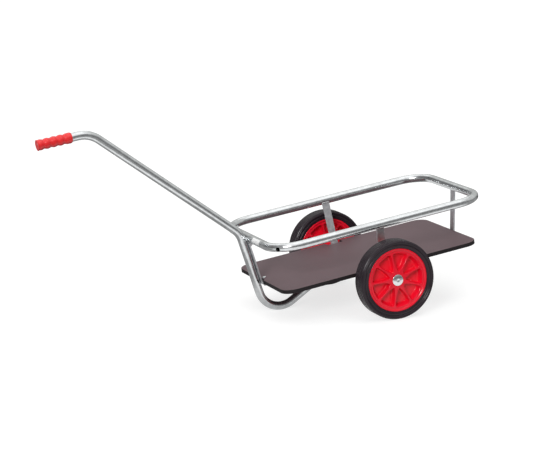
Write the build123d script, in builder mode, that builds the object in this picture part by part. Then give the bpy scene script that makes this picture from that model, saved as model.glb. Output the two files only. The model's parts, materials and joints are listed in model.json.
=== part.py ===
from build123d import *
import math
import os

# A two-wheeled hand cart: a bent tube drawbar with a grip, a tube rail round a plywood deck,
# flat bars that carry the rail and the deck, and two ribbed wheels on a fixed axle.
# Pieces are drawn level with the deck, from the middle of the axle: +X to the rear, +Y to the
# right, +Z up. The whole cart is then tipped forward about the axle until the drawbar's foot is
# on the floor, as it parks, and shifted so that the origin is on the floor below its middle.
# All sizes are in millimetres and all angles in degrees.

# Stock that the frame is made of
TUBE_D = 26.9
TUBE_WALL = 2.0
BAR_WIDTH = 25.0
BAR_THICK = 5.0
BAR_BEND = 5.0  # radius of a bar's middle line at a bend
FIT = 0.05  # gap between faces that are welded, glued or pressed together

# Wheels
WHEEL_R = 125.0
TRACK = 523.0
TYRE_WIDTH = 57.0
TREAD_FLAT = 44.0
SHOULDER = (122.4, 25.8)  # radius and distance from the wheel's middle plane
SIDEWALL_R = 116.0  # where the shoulder meets the flat sidewall
RIM_LIP_R = 100.3
RIM_LIP_INNER_R = 89.0  # foot of the slope from the ribs up to the lip
RIM_LIP_CREST_R = 93.0  # top of that slope
RIM_LIP_FACE = 24.2  # the lip's side face, from the wheel's middle plane
RIM_LIP_THICK = 5.0
RIM_SEAT_R = 95.0
RIM_WEB = 6.0
RIB_FACE = 22.2  # the side face of the hub and ribs, from the wheel's middle plane
RIB_COUNT = 9
RIB_PHASE = 15.0  # first rib, from the rear towards the top
RIB_AT_LIP = 7.0  # a rib's width at its outer end
POCKET_R = 83.5
POCKET_FLOOR_R = 79.0  # a pocket's outer wall slopes in to its floor
POCKET_TIP_R = 28.0
POCKET_TIP_ROUND = 3.2
POCKET_BULGE = 2.4  # how far a pocket's sides bow out, which thins the ribs halfway
CAP_R = 18.0
CAP_EDGE = 1.2
CAP_TOP = 27.3
CAP_GAP = 0.5

# Axle
AXLE_D = 20.0
AXLE_REACH = 24.0  # how far each end passes the wheel's middle plane
AXLE_BORE_GAP = 0.08
AXLE_TUBE_END_GAP = 1.0

# Deck: a plywood board on the flat bars, with notches where the bars pass its edges
DECK_LENGTH = 680.0
DECK_WIDTH = 400.0
DECK_THICK = 12.0
DECK_MIDDLE_X = -3.0
DECK_CORNER_R = 42.0
DECK_ARRIS = 0.8
SIDE_NOTCH = (52.0, 24.0)  # along the edge, into the board
FRONT_NOTCH = (34.0, 6.0)

# Rail round the load, a closed loop of tube, given by its middle line
RAIL_LENGTH = 722.0
RAIL_WIDTH = 436.0
RAIL_FRONT_X = -357.8
RAIL_Z = 170.6
RAIL_CORNER_R = 85.0
VENT_D = 14.0
VENT_TURN = 42.0  # from straight ahead or astern towards the side
VENT_DIP = 10.0  # below level

# Flat bars: the lean of each from upright, and where it passes the top of the deck
SIDE_POST_LEAN = 10.5
SIDE_POST_Y = 183.0
REAR_POST_LEAN = 9.0
REAR_POST_X = 346.3
FRONT_FOOT_LENGTH = 45.0
GUSSET_DROP = 19.0
GUSSET_REACH = 14.0

# Drawbar, given by the corners of its middle line on the cart's middle plane
STEEP_LEAN = 9.65
GRIP_END_X = -982.8
GRIP_Z = 615.0
GRIP_BEND_X = -814.4
UPPER_BEND_Z = 193.6
FOOT_BEND_Z = -106.9
TAIL_RISE = 25.8
TAIL_Z = 0.0
BEND_RADII = (88.0, 75.0, 73.0, 80.0)  # grip, upper, foot, tail

# Grip
GRIP_LENGTH = 110.5
GRIP_END_WALL = 3.5
GRIP_TROUGH_R = 15.3
GRIP_CREST_R = 16.8
GRIP_FLANGE_R = 17.2
GRIP_FLANGE = 3.0
GRIP_WAVES = 5
GRIP_FIRST_CREST = 10.5  # middle of the first crest, from the front end
GRIP_WAVE = 21.4
GRIP_CREST = 9.0  # length of a crest
GRIP_REAR_EDGE = 2.0

# Places that follow from the sizes above
TUBE_R = TUBE_D / 2
AXLE_R = AXLE_D / 2
STRAP_BOTTOM = TUBE_R + FIT
STRAP_MIDDLE = STRAP_BOTTOM + BAR_THICK / 2
DECK_BOTTOM = STRAP_BOTTOM + BAR_THICK + FIT
DECK_TOP = DECK_BOTTOM + DECK_THICK
RAIL_MIDDLE_X = RAIL_FRONT_X + RAIL_LENGTH / 2
RAIL_REAR_X = RAIL_FRONT_X + RAIL_LENGTH
RAIL_SIDE_Y = RAIL_WIDTH / 2
SIDES = {"left": -1, "right": 1}


def lean_offset(lean, rise):
    """How far a leaning piece moves sideways over a rise."""
    return rise * math.tan(math.radians(lean))


def steep_x(z):
    """Where the drawbar's steep run is at a height; it touches the front of the rail."""
    clear = (TUBE_D + FIT) / math.cos(math.radians(STEEP_LEAN))
    return RAIL_FRONT_X - clear - lean_offset(STEEP_LEAN, z - RAIL_Z)


def strip_x(z):
    """Where the middle of the front strip is at a height; it lies behind the steep run."""
    return steep_x(z) + (TUBE_R + FIT + BAR_THICK / 2) / math.cos(math.radians(STEEP_LEAN))


def sweep_tube(line):
    """Sweep the frame tube's section along a line."""
    with BuildSketch(Plane(origin=line @ 0, z_dir=line % 0)) as section:
        Circle(TUBE_R)
        Circle(TUBE_R - TUBE_WALL, mode=Mode.SUBTRACT)
    sweep(section.sketch, path=line)


def sweep_bar(line, across):
    """Sweep the flat bar's section along a line, its width along a direction."""
    with BuildSketch(Plane(origin=line @ 0, x_dir=across, z_dir=line % 0)) as section:
        Rectangle(BAR_WIDTH, BAR_THICK)
    sweep(section.sketch, path=line)


def wheel_plane(side):
    """A plane through the axle's line where x is a radius and y runs out from the wheel's middle."""
    return Plane(origin=(0, side * TRACK / 2, 0), x_dir=(1, 0, 0), z_dir=(0, 0, side))


# Drawbar: one tube from the grip over the rail and the foot to the axle tube
drawbar_corners = [
    (GRIP_END_X + GRIP_END_WALL, GRIP_Z),
    (GRIP_BEND_X, GRIP_Z),
    (steep_x(UPPER_BEND_Z), UPPER_BEND_Z),
    (steep_x(FOOT_BEND_Z), FOOT_BEND_Z),
    (steep_x(FOOT_BEND_Z) + (TAIL_Z - FOOT_BEND_Z) / math.tan(math.radians(TAIL_RISE)), TAIL_Z),
    (-TUBE_WALL, TAIL_Z),
]
with BuildPart() as drawbar:
    with BuildLine(Plane.XZ) as drawbar_line:
        FilletPolyline(*drawbar_corners, radius=BEND_RADII)
    sweep_tube(drawbar_line.line)
    Cylinder(TUBE_R + FIT, TUBE_D * 2, rotation=(90, 0, 0), mode=Mode.SUBTRACT)

# Grip: a sleeve with a closed front end, a flange there and waves for the fingers, drawn as
# (distance from the front end, radius)
grip_half = [(0, 0), (0, GRIP_FLANGE_R), (GRIP_FLANGE, GRIP_FLANGE_R), (GRIP_FLANGE, GRIP_TROUGH_R)]
for number in range(GRIP_WAVES):
    crest = GRIP_FIRST_CREST + number * GRIP_WAVE
    grip_half.append((crest - GRIP_CREST / 2, GRIP_CREST_R))
    if number < GRIP_WAVES - 1:
        grip_half.append((crest + GRIP_CREST / 2, GRIP_CREST_R))
        grip_half.append((crest + GRIP_WAVE / 2, GRIP_TROUGH_R))
grip_half += [
    (GRIP_LENGTH - GRIP_REAR_EDGE, GRIP_CREST_R),
    (GRIP_LENGTH, GRIP_CREST_R - GRIP_REAR_EDGE),
    (GRIP_LENGTH, TUBE_R + FIT),
    (GRIP_END_WALL - FIT, TUBE_R + FIT),
    (GRIP_END_WALL - FIT, 0),
]
with BuildPart() as handle_grip:
    with BuildSketch(Plane((GRIP_END_X, 0, GRIP_Z), x_dir=(1, 0, 0), z_dir=(0, -1, 0))):
        with BuildLine():
            Polyline(*grip_half, close=True)
        make_face()
    revolve(axis=Axis((GRIP_END_X, 0, GRIP_Z), (1, 0, 0)))

# Rail: a closed loop of tube with a vent hole in the outside of each corner
vent_ahead = math.cos(math.radians(VENT_TURN))
vent_aside = math.sin(math.radians(VENT_TURN))
vent_down = math.tan(math.radians(VENT_DIP))
with BuildPart() as rail_loop:
    with BuildLine(Plane((RAIL_MIDDLE_X, 0, RAIL_Z))) as rail_line:
        FilletPolyline(
            (-RAIL_LENGTH / 2, -RAIL_SIDE_Y),
            (-RAIL_LENGTH / 2, RAIL_SIDE_Y),
            (RAIL_LENGTH / 2, RAIL_SIDE_Y),
            (RAIL_LENGTH / 2, -RAIL_SIDE_Y),
            radius=RAIL_CORNER_R,
            close=True,
        )
    sweep_tube(rail_line.line)
    for end in (-1, 1):
        for side in SIDES.values():
            vent_x = RAIL_MIDDLE_X + end * (RAIL_LENGTH / 2 - RAIL_CORNER_R * (1 - vent_ahead))
            vent_y = side * (RAIL_SIDE_Y - RAIL_CORNER_R * (1 - vent_aside))
            vent_out = (end * vent_ahead, side * vent_aside, -vent_down)
            with BuildSketch(Plane((vent_x, vent_y, RAIL_Z), z_dir=vent_out)):
                Circle(VENT_D / 2)
            extrude(amount=TUBE_D, mode=Mode.SUBTRACT)

# Front strip: a flat bar behind the drawbar's steep run, with a gusset under the rail and
# a foot below the deck
strip_foot_end = strip_x(STRAP_MIDDLE) + FRONT_FOOT_LENGTH
gusset_x = strip_x(RAIL_Z - TUBE_R)
gusset_top = RAIL_Z - TUBE_R / 2
with BuildPart() as front_strip:
    with BuildLine(Plane.XZ) as strip_line:
        FilletPolyline(
            (strip_x(RAIL_Z - TUBE_R), RAIL_Z - TUBE_R),
            (strip_x(STRAP_MIDDLE), STRAP_MIDDLE),
            (strip_foot_end, STRAP_MIDDLE),
            radius=BAR_BEND,
        )
    sweep_bar(strip_line.line, (0, 1, 0))
    with BuildSketch(Plane.XZ):
        with BuildLine():
            Polyline(
                (gusset_x, gusset_top),
                (strip_x(RAIL_Z - TUBE_R - GUSSET_DROP), RAIL_Z - TUBE_R - GUSSET_DROP),
                (gusset_x + GUSSET_REACH, RAIL_Z - TUBE_R - GUSSET_DROP / 2),
                (gusset_x + GUSSET_REACH, gusset_top),
                close=True,
            )
        make_face()
    extrude(amount=BAR_THICK / 2, both=True)
    with Locations((RAIL_FRONT_X, 0, RAIL_Z)):
        Cylinder(TUBE_R + FIT, BAR_WIDTH * 2, rotation=(90, 0, 0), mode=Mode.SUBTRACT)

# Rear post: a flat bar from the rail down behind the deck and forward below it to the bow
rear_foot_x = REAR_POST_X - lean_offset(REAR_POST_LEAN, DECK_TOP - STRAP_MIDDLE)
with BuildPart() as rear_post:
    with BuildLine(Plane.XZ) as rear_line:
        FilletPolyline(
            (REAR_POST_X + lean_offset(REAR_POST_LEAN, RAIL_Z - DECK_TOP), RAIL_Z),
            (rear_foot_x, STRAP_MIDDLE),
            (BAR_WIDTH / 2 + FIT, STRAP_MIDDLE),
            radius=BAR_BEND,
        )
    sweep_bar(rear_line.line, (0, 1, 0))
    with Locations((RAIL_REAR_X, 0, RAIL_Z)):
        Cylinder(TUBE_R + FIT, BAR_WIDTH * 2, rotation=(90, 0, 0), mode=Mode.SUBTRACT)
    with Locations((RAIL_REAR_X, 0, RAIL_Z + TUBE_R)):
        Box(TUBE_D * 2, BAR_WIDTH * 2, TUBE_D, mode=Mode.SUBTRACT)

# Axle bow: a flat bar across the cart below the deck, whose ends rise as the side posts
bow_foot_y = SIDE_POST_Y - lean_offset(SIDE_POST_LEAN, DECK_TOP - STRAP_MIDDLE)
bow_top_y = SIDE_POST_Y + lean_offset(SIDE_POST_LEAN, RAIL_Z - DECK_TOP)
with BuildPart() as axle_bow:
    with BuildLine(Plane.YZ) as bow_line:
        FilletPolyline(
            (-bow_top_y, RAIL_Z),
            (-bow_foot_y, STRAP_MIDDLE),
            (bow_foot_y, STRAP_MIDDLE),
            (bow_top_y, RAIL_Z),
            radius=BAR_BEND,
        )
    sweep_bar(bow_line.line, (1, 0, 0))
    for side in SIDES.values():
        with Locations((0, side * RAIL_SIDE_Y, RAIL_Z)):
            Cylinder(TUBE_R + FIT, BAR_WIDTH * 2, rotation=(0, 90, 0), mode=Mode.SUBTRACT)

# Deck: a plywood board with rounded corners
with BuildPart() as deck:
    with BuildSketch(Plane((DECK_MIDDLE_X, 0, DECK_BOTTOM))) as board:
        RectangleRounded(DECK_LENGTH, DECK_WIDTH, DECK_CORNER_R)
        with Locations((-DECK_MIDDLE_X, -DECK_WIDTH / 2), (-DECK_MIDDLE_X, DECK_WIDTH / 2)):
            Rectangle(SIDE_NOTCH[0], 2 * SIDE_NOTCH[1], mode=Mode.SUBTRACT)
        with Locations((-DECK_LENGTH / 2, 0)):
            Rectangle(2 * FRONT_NOTCH[1], FRONT_NOTCH[0], mode=Mode.SUBTRACT)
    extrude(amount=DECK_THICK)
    chamfer(deck.faces().sort_by(Axis.Z)[-1].edges(), length=DECK_ARRIS)

# Axle tube, welded below the bow and to the end of the drawbar
hub_inner_y = TRACK / 2 - RIB_FACE
with BuildPart() as axle_tube:
    Cylinder(TUBE_R, 2 * (hub_inner_y - AXLE_TUBE_END_GAP), rotation=(90, 0, 0))
    Cylinder(AXLE_R + FIT, TRACK, rotation=(90, 0, 0), mode=Mode.SUBTRACT)

# Axle, fixed in its tube
with BuildPart() as axle:
    Cylinder(AXLE_R, TRACK + 2 * AXLE_REACH, rotation=(90, 0, 0))

pieces = {
    "drawbar": drawbar,
    "handle_grip": handle_grip,
    "rail_loop": rail_loop,
    "front_strip": front_strip,
    "rear_post": rear_post,
    "axle_bow": axle_bow,
    "deck": deck,
    "axle_tube": axle_tube,
    "axle": axle,
}

# A leaf between two ribs of a rim, from a round tip near the hub out to the lip
leaf_angle = math.pi / RIB_COUNT - math.asin(RIB_AT_LIP / 2 / RIM_LIP_INNER_R)
leaf_x = RIM_LIP_INNER_R * math.cos(leaf_angle)
leaf_y = RIM_LIP_INNER_R * math.sin(leaf_angle)
leaf_tip_x = POCKET_TIP_R + POCKET_TIP_ROUND
with BuildSketch() as leaf:
    with BuildLine():
        ThreePointArc((leaf_tip_x, -POCKET_TIP_ROUND), (POCKET_TIP_R, 0), (leaf_tip_x, POCKET_TIP_ROUND))
        for side in SIDES.values():
            SagittaArc((leaf_tip_x, side * POCKET_TIP_ROUND), (leaf_x, side * leaf_y), side * POCKET_BULGE)
        ThreePointArc((leaf_x, -leaf_y), (RIM_LIP_INNER_R, 0), (leaf_x, leaf_y))
    make_face()

# Pockets of a rim, about +Z: a leaf between each two ribs, with an outer wall that slopes in to
# the floor, on both sides of the web
with BuildPart() as pockets:
    with BuildSketch(Plane.XZ):
        with BuildLine():
            Polyline(
                (AXLE_D, RIM_WEB / 2),
                (POCKET_FLOOR_R, RIM_WEB / 2),
                (POCKET_R, RIB_FACE),
                (AXLE_D, RIB_FACE),
                close=True,
            )
        make_face()
    revolve(axis=Axis.Z)
    with BuildSketch():
        with PolarLocations(0, RIB_COUNT, start_angle=RIB_PHASE + 180 / RIB_COUNT):
            add(leaf.sketch)
    extrude(amount=RIB_FACE, mode=Mode.INTERSECT)
    mirror(about=Plane.XY)

for name, side in SIDES.items():
    # Tyre: solid rubber, its seat between the rim's lips
    with BuildPart() as tyre:
        with BuildSketch(wheel_plane(side)):
            with BuildLine():
                tyre_half = [
                    (WHEEL_R, TREAD_FLAT / 2),
                    SHOULDER,
                    (SIDEWALL_R, TYRE_WIDTH / 2),
                    (RIM_LIP_R + FIT, TYRE_WIDTH / 2),
                    (RIM_LIP_R + FIT, RIM_LIP_FACE - RIM_LIP_THICK - FIT),
                    (RIM_SEAT_R + FIT, RIM_LIP_FACE - RIM_LIP_THICK - FIT),
                ]
                Polyline(*tyre_half, *[(r, -s) for r, s in reversed(tyre_half)], close=True)
            make_face()
        revolve(axis=Axis.Y)
    pieces["tyre_" + name] = tyre

    # Rim: one moulding of hub, web, ribs and lips
    with BuildPart() as rim:
        with BuildSketch(wheel_plane(side)):
            with BuildLine():
                rim_half = [
                    (AXLE_R + AXLE_BORE_GAP, RIB_FACE),
                    (RIM_LIP_INNER_R, RIB_FACE),
                    (RIM_LIP_CREST_R, RIM_LIP_FACE),
                    (RIM_LIP_R, RIM_LIP_FACE),
                    (RIM_LIP_R, RIM_LIP_FACE - RIM_LIP_THICK),
                    (RIM_SEAT_R, RIM_LIP_FACE - RIM_LIP_THICK),
                ]
                Polyline(*rim_half, *[(r, -s) for r, s in reversed(rim_half)], close=True)
            make_face()
        revolve(axis=Axis.Y)
        with Locations(Plane((0, side * TRACK / 2, 0), x_dir=(1, 0, 0), z_dir=(0, -1, 0))):
            add(pockets.part, mode=Mode.SUBTRACT)
    pieces["rim_" + name] = rim

# Hub caps: a domed cap pressed on each end of the axle
cap_base = RIB_FACE + CAP_GAP
with BuildPart() as hub_caps:
    for side in SIDES.values():
        with BuildSketch(wheel_plane(side)) as cap_half:
            with BuildLine():
                Polyline(
                    (0, CAP_TOP),
                    (0, AXLE_REACH + FIT),
                    (AXLE_R + FIT, AXLE_REACH + FIT),
                    (AXLE_R + FIT, cap_base),
                    (CAP_R, cap_base),
                    (CAP_R, cap_base + CAP_EDGE),
                )
                TangentArc((0, CAP_TOP), (CAP_R, cap_base + CAP_EDGE), tangent=(1, 0))
            make_face()
        revolve(cap_half.sketch, axis=Axis.Y)
pieces["hub_caps"] = hub_caps

# Parked: the foot's bend and the tyres touch one floor
foot_bend = drawbar_line.edges().filter_by(GeomType.CIRCLE).sort_by(Axis.Z)[0]
foot_x = foot_bend.arc_center.X
foot_z = foot_bend.arc_center.Z
foot_drop = foot_bend.radius + TUBE_R
park_tilt = math.degrees(
    math.atan2(foot_x, foot_z) + math.acos((foot_drop - WHEEL_R) / math.hypot(foot_x, foot_z))
)
tipped = Location((0, 0, WHEEL_R), (0, -park_tilt, 0))
for piece in pieces.values():
    piece.part.move(tipped)

boxes = [piece.part.bounding_box() for piece in pieces.values()]
middle_x = (min(box.min.X for box in boxes) + max(box.max.X for box in boxes)) / 2
to_origin = Location((-middle_x, 0, -min(box.min.Z for box in boxes)))
print("park tilt", round(park_tilt, 3), "axle at", round(-middle_x, 3), WHEEL_R)

os.makedirs("parts", exist_ok=True)
for name, piece in pieces.items():
    piece.part.move(to_origin)
    piece.part.label = name
    export_step(piece.part, "parts/" + name + ".step")
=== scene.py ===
import json
import math

import bmesh
import bpy
from mathutils import Matrix, Vector
from mathutils.geometry import delaunay_2d_cdt


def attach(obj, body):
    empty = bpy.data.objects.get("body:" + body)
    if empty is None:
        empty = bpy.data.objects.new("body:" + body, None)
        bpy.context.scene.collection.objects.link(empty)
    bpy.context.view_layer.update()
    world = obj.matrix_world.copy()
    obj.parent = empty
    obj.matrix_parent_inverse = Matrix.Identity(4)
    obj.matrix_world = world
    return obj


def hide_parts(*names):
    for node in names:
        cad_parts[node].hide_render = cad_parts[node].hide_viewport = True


# Looks of a two-wheeled hand cart. The tubes, flat bars, deck and axle keep their solids and get
# finishes; the tyres, rims, hub caps and grip are modelled here in full in place of plainer solids.
# Shapes are given in millimetres, level with the deck, from the middle of the axle:
# x to the rear, y to the right, z up.

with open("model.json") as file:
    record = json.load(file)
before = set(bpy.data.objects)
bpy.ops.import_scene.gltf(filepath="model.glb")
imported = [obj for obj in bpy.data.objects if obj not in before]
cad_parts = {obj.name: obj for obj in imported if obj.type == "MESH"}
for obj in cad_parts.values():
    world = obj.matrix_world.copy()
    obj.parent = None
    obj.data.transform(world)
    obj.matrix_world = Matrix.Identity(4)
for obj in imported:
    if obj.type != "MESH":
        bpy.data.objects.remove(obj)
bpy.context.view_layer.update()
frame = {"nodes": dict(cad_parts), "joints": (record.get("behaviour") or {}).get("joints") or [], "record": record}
NODES = frame["nodes"]
MOUNTS = {mount["name"]: mount for mount in frame["record"]["mounts"]}
JOINTS = {joint["name"]: joint for joint in frame["joints"]}

MM = 0.001
UP = Vector(MOUNTS["deck_top"]["axis"])
BACK = Vector(MOUNTS["rail_left"]["axis"])
RIGHT = Vector((0, 1, 0))
HUBS = {side: Vector(JOINTS["wheel_" + side + "_spin"]["pos_m"]) for side in ("left", "right")}
OUTWARD = {"left": -1, "right": 1}
AXLE = (HUBS["left"] + HUBS["right"]) / 2
LEVEL = Matrix.Translation(AXLE) @ Matrix((BACK, RIGHT, UP)).transposed().to_4x4()

# Wheels: radii from the axle's line, other sizes from the wheel's middle plane
WHEEL_SEGMENTS = 144
TREAD_R = 125.0
TREAD_EDGE = (124.4, 21.4)
GROOVES = (0.0, 9.0)
GROOVE_HALF = 1.3
GROOVE_DEPTH = 1.4
GROOVE_SECTION = ((-1, 0), (-0.5, 1), (0.5, 1), (1, 0))  # shares of the half width and the depth
LADDER = (12.4, 19.2)
LADDER_STEPS = 180
LADDER_POINTS = 4
LADDER_DEPTH = 0.9
LADDER_RUN_IN = 0.3
TREAD_INSET = 0.6
SHOULDER_GROOVE = ((122.9, 22.0), (122.3, 22.9), (122.5, 23.9))
SHOULDER_BEAD = (119.2, 24.5, 4.0)
SHOULDER_ARC = (68, -14, 9)  # start, end, steps
SIDEWALL = ((116.4, 27.7), (114.8, 27.3))
SIDE_GROOVE = ((114.0, 26.1), (113.2, 25.5), (112.5, 25.9))
SIDE_RING = (110.0, 25.6, 2.2)
SIDE_RING_ARC = (62, -62, 8)
BEAD_SEAT = ((107.2, 26.1), (104.4, 25.8), (102.4, 25.5), (101.2, 24.8), (100.7, 23.4))
RIM_LIP_R = 100.3
RIM_LIP_FACE = 24.8
RIM_LIP_INNER_R = 91.6
RIM_LIP_SLOPE = 38.0
RIM_LIP_FOOT = 1.2
RIM_LIP_ROLL = 4.5
RIM_LIP_EDGE = 45
LIP_FOOT_STEPS = 4
LIP_ROLL_STEPS = 12
RIM_SEAT_R = 95.0
RIM_SEAT_HALF = 19.2
SEAT_GAP = 0.05
SEAT_SIDE_GAP = 0.1
RIB_FACE = 22.2
RIB_COUNT = 9
RIB_PHASE = math.radians(15)
RIB_WIDTH = 7.0
RIB_EDGE = 1.8
POCKET_R = 85.3
POCKET_TIP_R = 28.0
POCKET_BULGE = 2.6
POCKET_TIP_ROUND = 3.2
POCKET_CORNER = 5.5
TIP_STEPS = 8
SIDE_STEPS = 16
CORNER_STEPS = 12
OUTER_STEPS = 8
QUARTER_STEPS = 4
POCKET_FLOOR_R = 80.0
POCKET_DRAFT = 1.2
POCKET_FILLET = 4.5
WEB_HALF = 3.0
BORE_R = 10.1
CAP_R = 18.0
CAP_BASE = 22.7
CAP_TOP = 27.3
CAP_SHEET = 1.2
CAP_DOME = (  # radius, drop from the top
    (0.0, 0.9),
    (1.6, 0.8),
    (3.0, 0.25),
    (4.6, 0.0),
    (8.0, 0.2),
    (11.5, 0.8),
    (14.6, 1.7),
    (16.4, 2.5),
)
CAP_ROLL_R = 1.4
CAP_ROLL_RISE = 0.7
CAP_ROLL_ARC = (55, 0, 4)
CAP_SKIRT = 0.8
CAP_INSIDE = ((13.6, 2.7), (0.0, 2.2))  # radius, drop from the top
TURNED_SEGMENTS = 72

# Grip, from its front end
GRIP_FRONT_X = -982.8
GRIP_Z = 615.0
GRIP_LENGTH = 110.5
GRIP_END_WALL = 3.4
GRIP_END_ROUND = 7.0
GRIP_DISH = 1.4
GRIP_BORE_R = 13.5
GRIP_TROUGH_R = 14.4
GRIP_CREST_R = 16.9
GRIP_FLANGE_R = 17.2
GRIP_FLANGE_ROUND = 1.6
GRIP_FLANGE_BACK = ((0.0, 2.2), (0.6, 3.2))  # inset, place along
# Radius and share of the dish's depth
GRIP_END_FACE = ((0.0, 1.0), (11.5, 1.0), (13.2, 0.8), (14.4, 0.4), (15.2, 0.1), (15.6, 0.0))
GRIP_FIRST_CREST = 10.5
GRIP_WAVE = 21.4
GRIP_WAVES = 5
GRIP_WAVE_START = 4.4
GRIP_WAVE_STEPS = 14
GRIP_SWELL_POWER = 0.7

# Frame places that the welds, the bolt and the label follow
TUBE_R = 13.45
BAR_WIDTH = 25.0
BAR_EDGE = 0.7
SHARP_ANGLE = math.radians(50)
STEEP_LEAN = 9.65
RAIL_FRONT_X = -357.8
RAIL_Z = 170.6
CROSSING_R = 6.0
SIDE_WELDS = ((204.9, 165.0), (210.2, 159.4))
REAR_WELDS = ((363.2, 156.6), (369.7, 157.6))
BEAD_SEGMENTS = 10
BEAD_STEPS = 16
BEAD_RIPPLE = 0.10
BEAD_END = (0.35, 0.4)  # girth at the end, gain for each step from it
CROSSING_STEPS = 36
CROSSING_BEAD = 1.7
BAR_BEAD = 1.9
BEAD_ASIDE = Vector((1, 0, 0))
DECK_TOP = 30.55
FOOT_BOTTOM = 13.5
BOLT_X = -330.0
HEXAGON = 6
BOLT_HEAD = ((0.0, 5.5), (4.6, 5.5), (5.9, 4.8), (6.4, 4.4), (6.4, 0.05), (0.0, 0.05))  # radius, rise
# Radius and drop below the front foot
BOLT_WASHER = ((3.2, 1.5), (6.2, 1.5), (6.2, 0.05), (3.2, 0.05))
BOLT_SHANK = ((0.0, 8.0), (2.5, 8.0), (3.0, 7.5), (3.0, 0.05), (0.0, 0.05))
BOLT_NUT = ((3.1, 6.4), (5.3, 6.4), (5.8, 6.0), (5.8, 1.6), (3.1, 1.6))
LABEL_Y = (-105.0, -50.0)
LABEL_TURN = (-3.0, 68.0)
LABEL_LIFT = 0.02
LABEL_THICK = 0.15
LABEL_STEPS = 12


def linked(name, data):
    """A new object in the scene."""
    piece = bpy.data.objects.new(name, data)
    bpy.context.scene.collection.objects.link(piece)
    return piece


def to_piece(name, mesh_builder, body, materials, place=LEVEL):
    """Turn a bmesh in millimetres into a smooth piece in place that rides on a body."""
    bmesh.ops.remove_doubles(mesh_builder, verts=mesh_builder.verts, dist=0.001)
    bmesh.ops.recalc_face_normals(mesh_builder, faces=mesh_builder.faces)
    bmesh.ops.transform(mesh_builder, matrix=place @ Matrix.Scale(MM, 4), verts=mesh_builder.verts)
    mesh = bpy.data.meshes.new(name)
    mesh_builder.to_mesh(mesh)
    mesh_builder.free()
    mesh.shade_smooth()
    for material in materials:
        mesh.materials.append(material)
    piece = linked(name, mesh)
    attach(piece, body)
    return piece


def flat_faces(piece):
    """Keep the flat faces of a rounded piece flat to the eye, and its corners sharp."""
    piece.data.set_sharp_from_angle(angle=SHARP_ANGLE)
    weighted = piece.modifiers.new("flat_faces", "WEIGHTED_NORMAL")
    weighted.weight = 100
    weighted.keep_sharp = True


def band(mesh_builder, one, two):
    """Faces between two rings, one of which may have several points for each of the other's."""
    if len(one) < len(two):
        one, two = two, one
    step = len(one) // len(two)
    for number in range(len(two)):
        fine = [one[(number * step + extra) % len(one)] for extra in range(step + 1)]
        corners = fine + [two[(number + 1) % len(two)], two[number]]
        mesh_builder.faces.new(dict.fromkeys(corners))


def ring(mesh_builder, radius, along, segments):
    """A ring of points about the local z axis, or its one point on the axis."""
    if radius < 1e-6:
        return [mesh_builder.verts.new((0, 0, along))] * segments
    points = []
    for number in range(segments):
        angle = 2 * math.pi * number / segments
        place = (radius * math.cos(angle), radius * math.sin(angle), along)
        points.append(mesh_builder.verts.new(place))
    return points


def lathe(mesh_builder, profile, segments, closed):
    """Turn a profile of (radius, along) about the local z axis."""
    rings = [ring(mesh_builder, radius, along, segments) for radius, along in profile]
    if closed:
        rings.append(rings[0])
    for one, two in zip(rings, rings[1:]):
        band(mesh_builder, one, two)


def arc(centre, radius, start, end, steps):
    """Points of an arc, with angles in degrees from the first axis."""
    points = []
    for step in range(steps + 1):
        angle = math.radians(start + (end - start) * step / steps)
        points.append((centre[0] + radius * math.cos(angle), centre[1] + radius * math.sin(angle)))
    return points


# Materials: noise scales are per metre

NOISE_RANGE = (0.3, 0.7)
GRAIN_SCALE = 900.0
RIPPLE_SCALE = 25.0
CLOUD_SCALE = 28.0
FILM_CLOUD_SCALE = 9.0
VEIN_SCALE = 3.0
VEIN_STRETCH = (3, 60, 60)
FILM_SLOPE = (0.78, 0.92)
FILM_COLOURS = ((0.128, 0.085, 0.094), (0.150, 0.104, 0.114))
FILM_SHINE = (0.50, 0.58)
EDGE_COLOURS = ((0.012, 0.010, 0.011), (0.024, 0.020, 0.022))


def node_material(name, **sockets):
    """A node material whose shader's own sockets hold the values that are the same all over."""
    material = bpy.data.materials.new(name)
    material.use_nodes = True
    shader = material.node_tree.nodes["Principled BSDF"]
    for socket, value in sockets.items():
        shader.inputs[socket.replace("_", " ")].default_value = value
    return material, material.node_tree, shader


def texture_place(tree, stretch=(1, 1, 1)):
    """Places on the piece, stretched along its axes."""
    coordinates = tree.nodes.new("ShaderNodeTexCoord")
    mapping = tree.nodes.new("ShaderNodeMapping")
    mapping.inputs["Scale"].default_value = stretch
    tree.links.new(coordinates.outputs["Object"], mapping.inputs["Vector"])
    return mapping.outputs["Vector"]


def noise(tree, place, scale, detail=4.0, roughness=0.55):
    """A noise value at a scale per metre."""
    texture = tree.nodes.new("ShaderNodeTexNoise")
    texture.inputs["Scale"].default_value = scale
    texture.inputs["Detail"].default_value = detail
    texture.inputs["Roughness"].default_value = roughness
    tree.links.new(place, texture.inputs["Vector"])
    return texture.outputs["Fac"]


def ramp(tree, value, stops):
    """A colour ramp with (position, colour) stops."""
    stops = list(stops)
    node = tree.nodes.new("ShaderNodeValToRGB")
    elements = node.color_ramp.elements
    while len(elements) < len(stops):
        elements.new(0.5)
    for element, (position, colour) in zip(elements, stops):
        element.position = position
        element.color = (*colour, 1)
    tree.links.new(value, node.inputs["Fac"])
    return node.outputs["Color"]


def spread(tree, value, low, high):
    """Map a noise value to a range."""
    node = tree.nodes.new("ShaderNodeMapRange")
    node.inputs["From Min"].default_value, node.inputs["From Max"].default_value = NOISE_RANGE
    node.inputs["To Min"].default_value = low
    node.inputs["To Max"].default_value = high
    tree.links.new(value, node.inputs["Value"])
    return node.outputs["Result"]


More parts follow.
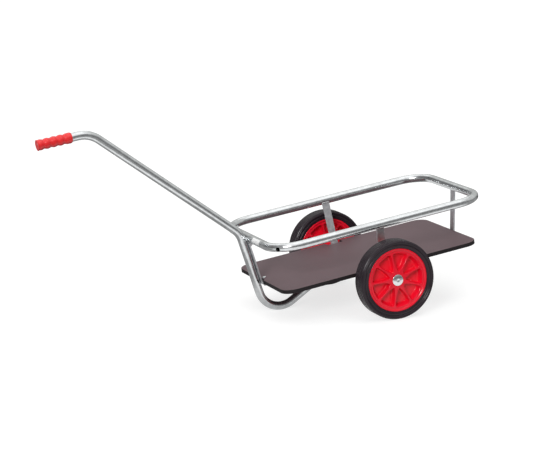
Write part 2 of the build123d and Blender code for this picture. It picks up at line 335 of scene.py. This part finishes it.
def bump(tree, shader, *layers):
    """Chain bump layers of (height, strength, depth in millimetres) into a shader's normal."""
    before = None
    for height, strength, depth in layers:
        node = tree.nodes.new("ShaderNodeBump")
        node.inputs["Strength"].default_value = strength
        node.inputs["Distance"].default_value = depth * MM
        tree.links.new(height, node.inputs["Height"])
        if before:
            tree.links.new(before, node.inputs["Normal"])
        before = node.outputs["Normal"]
    tree.links.new(before, shader.inputs["Normal"])


def zinc(name, dark, light, shine, mottle, ripple):
    """Zinc plating or bare steel: faintly mottled metal with a fine grain and long soft ripples."""
    material, tree, shader = node_material(name, Metallic=1.0)
    place = texture_place(tree)
    patches = noise(tree, place, mottle, 4.0, 0.6)
    grain = noise(tree, place, GRAIN_SCALE, 2.0)
    waves = noise(tree, place, RIPPLE_SCALE, 1.0, 0.4)
    tree.links.new(ramp(tree, patches, ((0.32, dark), (0.68, light))), shader.inputs["Base Color"])
    tree.links.new(spread(tree, patches, *shine), shader.inputs["Roughness"])
    bump(tree, shader, (waves, ripple, 1.0), (grain, 0.04, 0.05))
    return material


def deck_board(name):
    """Film-faced plywood: a brown satin film on both faces and sealed dark edges."""
    material, tree, shader = node_material(name, Specular_IOR_Level=0.15)
    place = texture_place(tree)
    geometry = tree.nodes.new("ShaderNodeNewGeometry")
    facing = tree.nodes.new("ShaderNodeVectorMath")
    facing.operation = "DOT_PRODUCT"
    facing.inputs[1].default_value = UP
    tree.links.new(geometry.outputs["True Normal"], facing.inputs[0])
    steep = tree.nodes.new("ShaderNodeMath")
    steep.operation = "ABSOLUTE"
    tree.links.new(facing.outputs["Value"], steep.inputs[0])
    film_share = ramp(tree, steep.outputs["Value"], zip(FILM_SLOPE, ((0, 0, 0), (1, 1, 1))))
    clouds = noise(tree, place, FILM_CLOUD_SCALE, 5.0, 0.6)
    veins = noise(tree, texture_place(tree, VEIN_STRETCH), VEIN_SCALE, 6.0, 0.6)
    film = ramp(tree, clouds, zip(NOISE_RANGE, FILM_COLOURS))
    edge = ramp(tree, veins, zip(NOISE_RANGE, EDGE_COLOURS))
    mix = tree.nodes.new("ShaderNodeMix")
    mix.data_type = "RGBA"
    tree.links.new(film_share, mix.inputs["Factor"])
    tree.links.new(edge, mix.inputs["A"])
    tree.links.new(film, mix.inputs["B"])
    tree.links.new(mix.outputs["Result"], shader.inputs["Base Color"])
    tree.links.new(spread(tree, clouds, *FILM_SHINE), shader.inputs["Roughness"])
    grain = noise(tree, place, GRAIN_SCALE, 3.0)
    bump(tree, shader, (veins, 0.10, 0.2), (grain, 0.10, 0.06))
    return material


def moulded(name, dark, light, shine, grain_scale, grain_depth, **sockets):
    """Moulded plastic or rubber: a slight change of shade and gloss over a fine grain."""
    material, tree, shader = node_material(name, **sockets)
    place = texture_place(tree)
    clouds = noise(tree, place, CLOUD_SCALE, 4.0)
    grain = noise(tree, place, grain_scale, 3.0)
    tree.links.new(ramp(tree, clouds, zip(NOISE_RANGE, (dark, light))), shader.inputs["Base Color"])
    tree.links.new(spread(tree, clouds, *shine), shader.inputs["Roughness"])
    bump(tree, shader, (grain, 0.25, grain_depth))
    return material


TUBE_ZINC = zinc("zinc_tube", (0.58, 0.59, 0.60), (0.74, 0.76, 0.77), (0.17, 0.25), 60.0, 0.06)
BAR_ZINC = zinc("zinc_bar", (0.60, 0.61, 0.63), (0.76, 0.77, 0.79), (0.42, 0.55), 120.0, 0.04)
CAP_ZINC = zinc("zinc_cap", (0.67, 0.69, 0.70), (0.78, 0.80, 0.81), (0.14, 0.22), 200.0, 0.02)
WELD_ZINC = zinc("zinc_weld", (0.55, 0.56, 0.57), (0.70, 0.71, 0.72), (0.26, 0.36), 300.0, 0.04)
AXLE_STEEL = zinc("steel_axle", (0.45, 0.46, 0.47), (0.55, 0.56, 0.57), (0.25, 0.35), 200.0, 0.02)
DECK_FILM = deck_board("film_plywood")
RIM_RED = moulded(
    "red_rim", (0.82, 0.005, 0.024), (0.88, 0.008, 0.030), (0.13, 0.18), 500.0, 0.01,
    Specular_IOR_Level=0.32,
)
TYRE_BLACK = moulded(
    "black_tyre", (0.021, 0.014, 0.019), (0.026, 0.018, 0.024), (0.22, 0.28), 700.0, 0.01,
    Specular_IOR_Level=0.26,
)
LABEL_WHITE = moulded("white_label", (0.90, 0.90, 0.90), (0.94, 0.94, 0.94), (0.30, 0.36), 300.0, 0.01)
GRIP_RED = moulded(
    "red_grip", (0.80, 0.020, 0.023), (0.86, 0.025, 0.028), (0.22, 0.27), 800.0, 0.01,
    Specular_IOR_Level=0.55,
)

CAD_FINISHES = {
    "drawbar": TUBE_ZINC,
    "rail_loop": TUBE_ZINC,
    "axle_tube": TUBE_ZINC,
    "front_strip": BAR_ZINC,
    "rear_post": BAR_ZINC,
    "axle_bow": BAR_ZINC,
    "deck": DECK_FILM,
    "axle": AXLE_STEEL,
}
for node, finish in CAD_FINISHES.items():
    for material_slot in NODES[node].material_slots:
        material_slot.material = finish
for node in ("front_strip", "rear_post", "axle_bow"):
    weld = NODES[node].modifiers.new("joined_corners", "WELD")
    weld.merge_threshold = 0.01 * MM
    edge = NODES[node].modifiers.new("rolled_edges", "BEVEL")
    edge.width = BAR_EDGE * MM
    edge.segments = 2
    edge.limit_method = "ANGLE"
    edge.angle_limit = SHARP_ANGLE
    edge.harden_normals = True


# Wheels: local x runs to the rear, y up and z along the axle to the cart's left


def wheel_place(side):
    """The frame of a wheel, from its middle."""
    axes = Matrix((BACK, UP, -RIGHT)).transposed().to_4x4()
    return Matrix.Translation(HUBS[side]) @ axes


def tread_rings(mesh_builder):
    """Rings across the tread: plain grooves round it and a ladder of fine notches by each edge."""
    half = []
    for groove in GROOVES:
        for along, sink in GROOVE_SECTION:
            half.append((groove + along * GROOVE_HALF, sink * GROOVE_DEPTH, False))
    half = [point for point in half if point[0] > 0]
    half += [(LADDER[0], 0, False), (LADDER[0] + LADDER_RUN_IN, 0, True)]
    half += [(LADDER[1] - LADDER_RUN_IN, 0, True), (LADDER[1], 0, False)]
    half += [(TREAD_EDGE[1] - TREAD_INSET, 0, False)]
    rings = []
    for along, sink, notched in [(-a, k, n) for a, k, n in reversed(half)] + half:
        points = ring(mesh_builder, TREAD_R - sink, along, LADDER_POINTS * LADDER_STEPS)
        for number, point in enumerate(points):
            if notched and number % LADDER_POINTS >= LADDER_POINTS / 2:
                point.co.xy *= 1 - LADDER_DEPTH / TREAD_R
        rings.append(points)
    return rings


def round_ring(section, turns):
    """Points (radius, place along) of a raised round ring, from its (radius, place along, girth)."""
    radius, along, girth = section
    return [(r, s) for s, r in arc((along, radius), girth, *turns)]


def tyre(side):
    """A solid tyre: grooved tread, a beaded shoulder and a raised ring by the rim on each side."""
    wall = [TREAD_EDGE, *SHOULDER_GROOVE]
    wall += round_ring(SHOULDER_BEAD, SHOULDER_ARC)
    wall += [*SIDEWALL, *SIDE_GROOVE]
    wall += round_ring(SIDE_RING, SIDE_RING_ARC)
    wall += [*BEAD_SEAT]
    seat_side = RIM_SEAT_HALF - SEAT_SIDE_GAP
    wall += [(RIM_LIP_R + SEAT_GAP, seat_side), (RIM_SEAT_R + SEAT_GAP, seat_side)]
    mesh_builder = bmesh.new()
    rings = tread_rings(mesh_builder)
    rings += [ring(mesh_builder, r, s, WHEEL_SEGMENTS) for r, s in wall]
    rings += [ring(mesh_builder, r, -s, WHEEL_SEGMENTS) for r, s in reversed(wall)]
    for one, two in zip(rings, rings[1:] + rings[:1]):
        band(mesh_builder, one, two)
    name = "tyre_rubber_" + side
    piece = to_piece(name, mesh_builder, "wheel_" + side, [TYRE_BLACK], wheel_place(side))
    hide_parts("tyre_" + side)


def pocket_rays(outer_r, rib_width, tip_r, turn):
    """Core points, directions and roundings: a pocket's outline is core + direction * rounding."""
    core_r = outer_r - POCKET_CORNER
    half_angle = math.pi / RIB_COUNT - math.asin((rib_width / 2 + POCKET_CORNER) / core_r)
    tip = Vector((tip_r + POCKET_TIP_ROUND, 0))
    corner = Vector((core_r * math.cos(half_angle), core_r * math.sin(half_angle)))
    chord = corner - tip
    radius = (chord.length_squared / 4 + POCKET_BULGE**2) / (2 * POCKET_BULGE)
    swing = math.asin(chord.length / 2 / radius)
    out = math.atan2(chord.y, chord.x) + math.pi / 2
    centre = (tip + corner) / 2 - Vector((math.cos(out), math.sin(out))) * (radius - POCKET_BULGE)
    upper = []
    for step in range(TIP_STEPS + 1):
        angle = math.pi + (out + swing - math.pi) * step / TIP_STEPS
        upper.append((tip, angle, POCKET_TIP_ROUND))
    for step in range(1, SIDE_STEPS):
        angle = out + swing - 2 * swing * step / SIDE_STEPS
        rounding = POCKET_TIP_ROUND + (POCKET_CORNER - POCKET_TIP_ROUND) * step / SIDE_STEPS
        upper.append((centre + Vector((math.cos(angle), math.sin(angle))) * radius, angle, rounding))
    for step in range(CORNER_STEPS + 1):
        angle = out - swing + (half_angle - out + swing) * step / CORNER_STEPS
        upper.append((corner, angle, POCKET_CORNER))
    for step in range(1, OUTER_STEPS + 1):
        angle = half_angle * (1 - step / OUTER_STEPS)
        core = Vector((core_r * math.cos(angle), core_r * math.sin(angle)))
        upper.append((core, angle, POCKET_CORNER))
    lower = []
    for point, angle, rounding in reversed(upper[1:-1]):
        lower.append((Vector((point.x, -point.y)), -angle, rounding))
    spin = Matrix.Rotation(turn, 2)
    rays = []
    for point, angle, rounding in upper + lower:
        rays.append((spin @ point, spin @ Vector((math.cos(angle), math.sin(angle))), rounding))
    return rays


def pocket_outlines(turn):
    """Outlines (points, depth) down one pocket: rounded rib edge, drafted wall, filleted floor."""
    quarter = [math.radians(90 * step / QUARTER_STEPS) for step in range(QUARTER_STEPS + 1)]
    depth = RIB_FACE - WEB_HALF
    top = pocket_rays(POCKET_R, RIB_WIDTH, POCKET_TIP_R, turn)
    floor = pocket_rays(POCKET_FLOOR_R, RIB_WIDTH + 2 * POCKET_DRAFT, POCKET_TIP_R + POCKET_DRAFT, turn)
    steps = [(top, RIB_EDGE * (1 - math.sin(a)), RIB_EDGE * (1 - math.cos(a))) for a in quarter]
    for a in quarter:
        steps.append((floor, POCKET_FILLET * (math.cos(a) - 1), depth - POCKET_FILLET * (1 - math.sin(a))))
    outlines = []
    for rays, out, down in steps:
        share = 1 + out / POCKET_CORNER
        points = [point + direction * (rounding * share) for point, direction, rounding in rays]
        outlines.append((points, down))
    return outlines


def rim_face(mesh_builder, face):
    """One side of a rim's web: hub, ribs and pockets. Face is 1 or -1 along the axle."""
    loops = []
    for radius in (RIM_LIP_INNER_R, BORE_R):
        angles = [2 * math.pi * number / WHEEL_SEGMENTS for number in range(WHEEL_SEGMENTS)]
        loops.append([Vector((radius * math.cos(a), radius * math.sin(a))) for a in angles])
    for number in range(RIB_COUNT):
        outlines = pocket_outlines(RIB_PHASE + (number + 0.5) * 2 * math.pi / RIB_COUNT)
        loops.append(outlines[0][0])
        rings = []
        for outline, depth in outlines:
            along = face * (RIB_FACE - depth)
            rings.append([mesh_builder.verts.new((p.x, p.y, along)) for p in outline])
        for one, two in zip(rings, rings[1:]):
            band(mesh_builder, one, two)
        mesh_builder.faces.new(rings[-1])
    points = [point for loop in loops for point in loop]
    owners = [owner for owner, loop in enumerate(loops) for _ in loop]
    edges = []
    for loop in loops:
        first = len(edges)
        edges += [(first + number, first + (number + 1) % len(loop)) for number in range(len(loop))]
    flat, _, triangles, origins, *_ = delaunay_2d_cdt(points, edges, [], 1, 1e-5)
    plate = [mesh_builder.verts.new((p.x, p.y, face * RIB_FACE)) for p in flat]
    for triangle in triangles:
        around = {owners[origins[index][0]] for index in triangle}
        if len(around) > 1 or around == {0}:
            mesh_builder.faces.new([plate[index] for index in triangle])


def rim(side):
    """A moulded rim: hub, nine ribs and pockets on each side of the web, and rounded lips."""
    mesh_builder = bmesh.new()
    for face in (1, -1):
        rim_face(mesh_builder, face)
    slope = math.radians(RIM_LIP_SLOPE)
    bends = RIM_LIP_FOOT + RIM_LIP_ROLL
    straight_rise = RIM_LIP_FACE - RIB_FACE - bends * (1 - math.cos(slope))
    crest_r = RIM_LIP_INNER_R + bends * math.sin(slope) + straight_rise / math.tan(slope)
    foot_centre = (RIM_LIP_INNER_R, RIB_FACE + RIM_LIP_FOOT)
    lip = arc(foot_centre, RIM_LIP_FOOT, -90, RIM_LIP_SLOPE - 90, LIP_FOOT_STEPS)
    roll_centre = (crest_r, RIM_LIP_FACE - RIM_LIP_ROLL)
    lip += arc(roll_centre, RIM_LIP_ROLL, RIM_LIP_SLOPE + 90, RIM_LIP_EDGE, LIP_ROLL_STEPS)
    lip += [(RIM_LIP_R, RIM_SEAT_HALF), (RIM_SEAT_R, RIM_SEAT_HALF)]
    lathe(mesh_builder, lip + [(r, -s) for r, s in reversed(lip)], WHEEL_SEGMENTS, closed=False)
    lathe(mesh_builder, [(BORE_R, RIB_FACE), (BORE_R, -RIB_FACE)], WHEEL_SEGMENTS, closed=False)
    name = "rim_moulding_" + side
    piece = to_piece(name, mesh_builder, "wheel_" + side, [RIM_RED], wheel_place(side))
    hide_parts("rim_" + side)
    flat_faces(piece)


def hub_cap(side):
    """A pressed cap on the axle's end: a shallow dome with a rolled edge and a dimple."""
    outside = [(radius, CAP_TOP - drop) for radius, drop in CAP_DOME]
    outside += arc((CAP_R - CAP_ROLL_R, CAP_BASE + CAP_ROLL_RISE), CAP_ROLL_R, *CAP_ROLL_ARC)
    outside += [(CAP_R, CAP_BASE)]
    inside = [(CAP_R - CAP_SHEET, CAP_BASE), (CAP_R - CAP_SHEET, CAP_BASE + CAP_SKIRT)]
    inside += [(radius, CAP_TOP - drop) for radius, drop in CAP_INSIDE]
    mesh_builder = bmesh.new()
    profile = [(radius, -OUTWARD[side] * along) for radius, along in outside + inside]
    lathe(mesh_builder, profile, TURNED_SEGMENTS, closed=False)
    name = "hub_cap_dome_" + side
    return to_piece(name, mesh_builder, "frame", [CAP_ZINC], wheel_place(side))


for wheel_side in ("left", "right"):
    tyre(wheel_side)
    rim(wheel_side)
    cap = hub_cap(wheel_side)
    if wheel_side == "left":
        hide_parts("hub_caps")


def grip():
    """A moulded sleeve with five finger waves, a flange at its front and a dished end."""
    profile = [(radius, dish * GRIP_DISH) for radius, dish in GRIP_END_FACE]
    profile += arc((GRIP_FLANGE_R - GRIP_FLANGE_ROUND, GRIP_FLANGE_ROUND), GRIP_FLANGE_ROUND, -90, 0, 6)
    profile += [(GRIP_FLANGE_R - inset, along) for inset, along in GRIP_FLANGE_BACK]
    last_crest = GRIP_FIRST_CREST + (GRIP_WAVES - 1) * GRIP_WAVE
    wave_step = GRIP_WAVE / GRIP_WAVE_STEPS
    for step in range(round((last_crest - GRIP_WAVE_START) / wave_step) + 1):
        along = GRIP_WAVE_START + step * wave_step
        swell = 0.5 + 0.5 * math.cos(2 * math.pi * (along - GRIP_FIRST_CREST) / GRIP_WAVE)
        height = (GRIP_CREST_R - GRIP_TROUGH_R) * swell**GRIP_SWELL_POWER
        profile.append((GRIP_TROUGH_R + height, along))
    shoulder = GRIP_CREST_R - GRIP_BORE_R
    for across, up in arc((0.0, 0.0), 1.0, 0, 90, 10):
        profile.append((GRIP_BORE_R + shoulder * across, GRIP_LENGTH + GRIP_END_ROUND * (up - 1)))
    profile += [(GRIP_BORE_R, GRIP_END_WALL), (0.0, GRIP_END_WALL)]
    mesh_builder = bmesh.new()
    lathe(mesh_builder, profile, TURNED_SEGMENTS, closed=False)
    along_back = Matrix((UP, -RIGHT, BACK)).transposed().to_4x4()
    place = Matrix.Translation(LEVEL @ (Vector((GRIP_FRONT_X, 0, GRIP_Z)) * MM)) @ along_back
    piece = to_piece("grip_sleeve", mesh_builder, "frame", [GRIP_RED], place)
    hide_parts("handle_grip")


grip()

# Welds, bolt and label


def bead(mesh_builder, path, radius, closed):
    """A weld bead with small ripples along a path of points."""
    rings = []
    count = len(path)
    for number, point in enumerate(path):
        before = path[number - 1] if closed or number else point
        after = path[(number + 1) % count] if closed or number < count - 1 else point
        along = (after - before).normalized()
        if abs(along.x) > 0.9:
            across = along.orthogonal().normalized()
        else:
            across = along.cross(BEAD_ASIDE).normalized()
        upward = along.cross(across)
        from_end = min(number, count - 1 - number)
        ends = 1.0 if closed else min(1.0, BEAD_END[0] + BEAD_END[1] * from_end)
        girth = radius * ends * (1 + BEAD_RIPPLE * math.cos(math.pi * number))
        turns = [2 * math.pi * step / BEAD_SEGMENTS for step in range(BEAD_SEGMENTS)]
        offsets = [across * (math.cos(t) * girth) + upward * (math.sin(t) * girth) for t in turns]
        rings.append([mesh_builder.verts.new(point + offset) for offset in offsets])
    if closed:
        rings.append(rings[0])
    else:
        mesh_builder.faces.new(rings[0])
        mesh_builder.faces.new(rings[-1])
    for one, two in zip(rings, rings[1:]):
        band(mesh_builder, one, two)


def straight(middle, direction, length):
    """Points along a straight weld."""
    shares = [step / BEAD_STEPS - 0.5 for step in range(BEAD_STEPS + 1)]
    return [Vector(middle) + Vector(direction) * (length * share) for share in shares]


def welds():
    """Beads where the drawbar crosses the rail and where the flat bars meet it."""
    mesh_builder = bmesh.new()
    steep = math.radians(STEEP_LEAN)
    along = Vector((-math.sin(steep), 0, math.cos(steep)))
    outward = Vector((-math.cos(steep), 0, -math.sin(steep)))
    touch = Vector((RAIL_FRONT_X, 0, RAIL_Z)) + outward * TUBE_R
    gap = (TUBE_R - math.sqrt(TUBE_R**2 - CROSSING_R**2)) / 2
    crossing = []
    for step in range(CROSSING_STEPS):
        turn = 2 * math.pi * step / CROSSING_STEPS
        aside = along * math.cos(turn) + Vector((0, 1, 0)) * math.sin(turn)
        crossing.append(touch + aside * CROSSING_R - outward * (gap * math.cos(2 * turn)))
    bead(mesh_builder, crossing, CROSSING_BEAD, closed=True)
    for y, z in SIDE_WELDS:
        for side in (-1, 1):
            bead(mesh_builder, straight((0, side * y, z), (1, 0, 0), BAR_WIDTH), BAR_BEAD, closed=False)
    for x, z in REAR_WELDS:
        bead(mesh_builder, straight((x, 0, z), (0, 1, 0), BAR_WIDTH), BAR_BEAD, closed=False)
    to_piece("weld_beads", mesh_builder, "frame", [WELD_ZINC])


def deck_bolt():
    """A bolt through the deck and the front foot, with a washer and a nut below."""
    mesh_builder = bmesh.new()
    lathe(mesh_builder, [(r, DECK_TOP + rise) for r, rise in BOLT_HEAD], HEXAGON, closed=False)
    below = ((BOLT_WASHER, 36, True), (BOLT_SHANK, 24, False), (BOLT_NUT, HEXAGON, True))
    for section, segments, closed in below:
        lathe(mesh_builder, [(r, FOOT_BOTTOM - drop) for r, drop in section], segments, closed)
    place = LEVEL @ Matrix.Translation(Vector((BOLT_X, 0, 0)) * MM)
    piece = to_piece("deck_bolt", mesh_builder, "frame", [CAP_ZINC], place)
    flat_faces(piece)


def label():
    """A blank label stuck round the upper front of the rail's front tube."""
    mesh_builder = bmesh.new()
    low, high = LABEL_TURN
    layers = []
    for radius in (TUBE_R + LABEL_LIFT, TUBE_R + LABEL_THICK):
        rows = []
        for step in range(LABEL_STEPS + 1):
            turn = math.radians(low + (high - low) * step / LABEL_STEPS)
            x = RAIL_FRONT_X - radius * math.cos(turn)
            z = RAIL_Z + radius * math.sin(turn)
            rows.append([mesh_builder.verts.new((x, y, z)) for y in LABEL_Y])
        layers.append(rows)
    outline = []
    for rows in layers:
        for one, two in zip(rows, rows[1:]):
            mesh_builder.faces.new((one[0], one[1], two[1], two[0]))
        outline.append([row[0] for row in rows] + [row[1] for row in reversed(rows)])
    band(mesh_builder, *outline)
    piece = to_piece("rail_label", mesh_builder, "frame", [LABEL_WHITE])
    flat_faces(piece)


welds()
deck_bolt()
label()

# Studio: a white floor in a dim room, with soft light from high in front, from high behind and from
# the left

FLOOR_HALF_SIDE = 40.0
BACKDROP_HEIGHT = 8.0
FLOOR_PAPER = (0.34, 0.34, 0.34, 1)
FLOOR_GLOW = 0.74
# Painted pools of light, a glow on the floor near the cart that only the metal's reflections see: middle, half
# length, half width, turn in degrees, level
PAINTED_LIGHT_POOLS = (
    ((0.35, -0.42), 0.65, 0.32, 0.0, 1.0),
    ((-0.28, -0.51), 0.64, 0.23, -41.0, 1.1),
    ((0.08, -0.02), 0.22, 0.22, 0.0, 0.55),
    ((0.55, 0.82), 0.65, 0.36, 0.0, 0.7),
)
PAINTED_POOL_EDGE = (0.80, 1.15)
SOURCE_AXIS = Vector((-0.10, -0.45, 0.89)).normalized()
SOURCE = (
    (0.00, (0, 0, 0)),
    (0.50, (0, 0, 0)),
    (0.62, (0.08, 0.08, 0.08)),
    (0.89, (0.11, 0.11, 0.11)),
    (0.955, (0.56, 0.56, 0.56)),
    (1.00, (0.56, 0.56, 0.56)),
)
BACK_AXIS = Vector((0.0, 0.50, 0.87)).normalized()
BACK_SOURCE = (
    (0.00, (0, 0, 0)),
    (0.915, (0, 0, 0)),
    (0.950, (0.27, 0.27, 0.27)),
    (1.00, (0.27, 0.27, 0.27)),
)
ROOM_AXIS = Vector((0.55, 0.45, 0.70)).normalized()
ROOM = (
    (0.00, (0.05, 0.05, 0.052)),
    (0.66, (0.06, 0.06, 0.062)),
    (0.70, (0.09, 0.09, 0.092)),
    (0.78, (0.26, 0.263, 0.258)),
    (0.86, (0.30, 0.304, 0.297)),
    (1.00, (0.29, 0.294, 0.287)),
)
SKY_STRENGTH = 1.9
SUN_FROM = Vector((-0.63, -0.66, 0.40))
SUN_SPREAD = 18
SUN_STRENGTH = 1.6
SENSOR_WIDTH = 36.0
CAMERA_LENS = 144.46
CAMERA_PLACE = (-2.48164, -6.11222, 1.65296)
CAMERA_TURN = (78.0463, 1.1897, -22.6319)


def painted_light_pool(tree, middle, half_length, half_width, turn, level):
    """A painted pool of light on the floor: a glow level in its middle, down to 0 past its edge."""
    place = tree.nodes.new("ShaderNodeTexCoord")
    mapping = tree.nodes.new("ShaderNodeMapping")
    mapping.vector_type = "TEXTURE"
    mapping.inputs["Location"].default_value = (*middle, 0)
    mapping.inputs["Rotation"].default_value = (0, 0, math.radians(turn))
    mapping.inputs["Scale"].default_value = (half_length, half_width, 1)
    tree.links.new(place.outputs["Object"], mapping.inputs["Vector"])
    length = tree.nodes.new("ShaderNodeVectorMath")
    length.operation = "LENGTH"
    tree.links.new(mapping.outputs["Vector"], length.inputs[0])
    fall = tree.nodes.new("ShaderNodeMapRange")
    fall.inputs["From Min"].default_value, fall.inputs["From Max"].default_value = PAINTED_POOL_EDGE
    fall.inputs["To Min"].default_value = level
    fall.inputs["To Max"].default_value = 0.0
    tree.links.new(length.outputs["Value"], fall.inputs["Value"])
    return fall.outputs["Result"]


def combined(tree, operation, one, two):
    """Two values put together by a math operation."""
    node = tree.nodes.new("ShaderNodeMath")
    node.operation = operation
    tree.links.new(one, node.inputs[0])
    tree.links.new(two, node.inputs[1])
    return node.outputs["Value"]


def seen_rays(tree):
    """1 for rays from the eye; for those that metal sends on, the level of the painted pools of light by the cart.
    """
    path = tree.nodes.new("ShaderNodeLightPath").outputs
    # Painted light: glowing pools on the floor stand in for lit floor in the metal's reflections
    painted_pool_glow = painted_light_pool(tree, *PAINTED_LIGHT_POOLS[0])
    for places in PAINTED_LIGHT_POOLS[1:]:
        painted_pool_glow = combined(tree, "MAXIMUM", painted_pool_glow, painted_light_pool(tree, *places))
    sent_on = combined(tree, "MAXIMUM", path["Is Glossy Ray"], path["Is Transmission Ray"])
    return combined(tree, "MAXIMUM", path["Is Camera Ray"], combined(tree, "MULTIPLY", sent_on, painted_pool_glow))


def floor_material():
    """Pale paper that looks white, shows in metal only as painted pools of light near the cart, and still takes
    the cart's shadow.
    """
    material = bpy.data.materials.new("studio_floor")
    material.use_nodes = True
    tree = material.node_tree
    tree.nodes.clear()
    diffuse = tree.nodes.new("ShaderNodeBsdfDiffuse")
    diffuse.inputs["Color"].default_value = FLOOR_PAPER
    glow = tree.nodes.new("ShaderNodeEmission")
    share = tree.nodes.new("ShaderNodeMath")
    share.operation = "MULTIPLY"
    share.inputs[1].default_value = FLOOR_GLOW
    # The glow whitens the floor for the eye and paints pools of light that only reflections in the metal see
    tree.links.new(seen_rays(tree), share.inputs[0])
    tree.links.new(share.outputs["Value"], glow.inputs["Strength"])
    both = tree.nodes.new("ShaderNodeAddShader")
    tree.links.new(diffuse.outputs["BSDF"], both.inputs[0])
    tree.links.new(glow.outputs["Emission"], both.inputs[1])
    output = tree.nodes.new("ShaderNodeOutputMaterial")
    tree.links.new(both.outputs["Shader"], output.inputs["Surface"])
    return material


def studio_floor():
    """A wide flat floor under the cart, turned up far away all round as a low backdrop."""
    mesh_builder = bmesh.new()
    bmesh.ops.create_grid(mesh_builder, x_segments=1, y_segments=1, size=FLOOR_HALF_SIDE)
    walls = bmesh.ops.extrude_edge_only(mesh_builder, edges=mesh_builder.edges)
    tops = [element for element in walls["geom"] if isinstance(element, bmesh.types.BMVert)]
    bmesh.ops.translate(mesh_builder, verts=tops, vec=(0, 0, BACKDROP_HEIGHT))
    bmesh.ops.recalc_face_normals(mesh_builder, faces=mesh_builder.faces)
    mesh = bpy.data.meshes.new("studio_floor")
    mesh_builder.to_mesh(mesh)
    mesh_builder.free()
    mesh.materials.append(floor_material())
    linked("studio_floor", mesh)


def sky_ramp(tree, axis, stops):
    """Colours by direction, from 0 against an axis to 1 along it."""
    coordinates = tree.nodes.new("ShaderNodeTexCoord")
    along = tree.nodes.new("ShaderNodeVectorMath")
    along.operation = "DOT_PRODUCT"
    along.inputs[1].default_value = axis
    tree.links.new(coordinates.outputs["Generated"], along.inputs[0])
    half = tree.nodes.new("ShaderNodeMath")
    half.operation = "MULTIPLY_ADD"
    half.inputs[1].default_value = 0.5
    half.inputs[2].default_value = 0.5
    tree.links.new(along.outputs["Value"], half.inputs[0])
    return ramp(tree, half.outputs["Value"], stops)


def studio_world():
    """Light from two large soft sources overhead, in a room that is dim low down."""
    world = bpy.data.worlds.new("studio")
    bpy.context.scene.world = world
    world.use_nodes = True
    tree = world.node_tree
    tree.nodes.clear()
    light = sky_ramp(tree, ROOM_AXIS, ROOM)
    for axis, stops in ((SOURCE_AXIS, SOURCE), (BACK_AXIS, BACK_SOURCE)):
        both = tree.nodes.new("ShaderNodeVectorMath")
        both.operation = "ADD"
        tree.links.new(light, both.inputs[0])
        tree.links.new(sky_ramp(tree, axis, stops), both.inputs[1])
        light = both.outputs["Vector"]
    background = tree.nodes.new("ShaderNodeBackground")
    background.inputs["Strength"].default_value = SKY_STRENGTH
    tree.links.new(light, background.inputs["Color"])
    output = tree.nodes.new("ShaderNodeOutputWorld")
    tree.links.new(background.outputs["Background"], output.inputs["Surface"])


def soft_sun(name, source, spread_angle, strength):
    """A wide even lamp that shines from the direction of a source."""
    data = bpy.data.lights.new(name, "SUN")
    data.angle = math.radians(spread_angle)
    data.energy = strength
    lamp = linked(name, data)
    lamp.rotation_euler = (-source).to_track_quat("-Z", "Y").to_euler()


def photo_camera():
    """The photograph's viewpoint."""
    data = bpy.data.cameras.new("photo_camera")
    data.sensor_width = SENSOR_WIDTH
    data.lens = CAMERA_LENS
    camera = linked("photo_camera", data)
    camera.location = CAMERA_PLACE
    camera.rotation_euler = [math.radians(angle) for angle in CAMERA_TURN]
    bpy.context.scene.camera = camera


studio_floor()
studio_world()
soft_sun("left", SUN_FROM, SUN_SPREAD, SUN_STRENGTH)
photo_camera()
bpy.context.scene.view_settings.view_transform = "Standard"
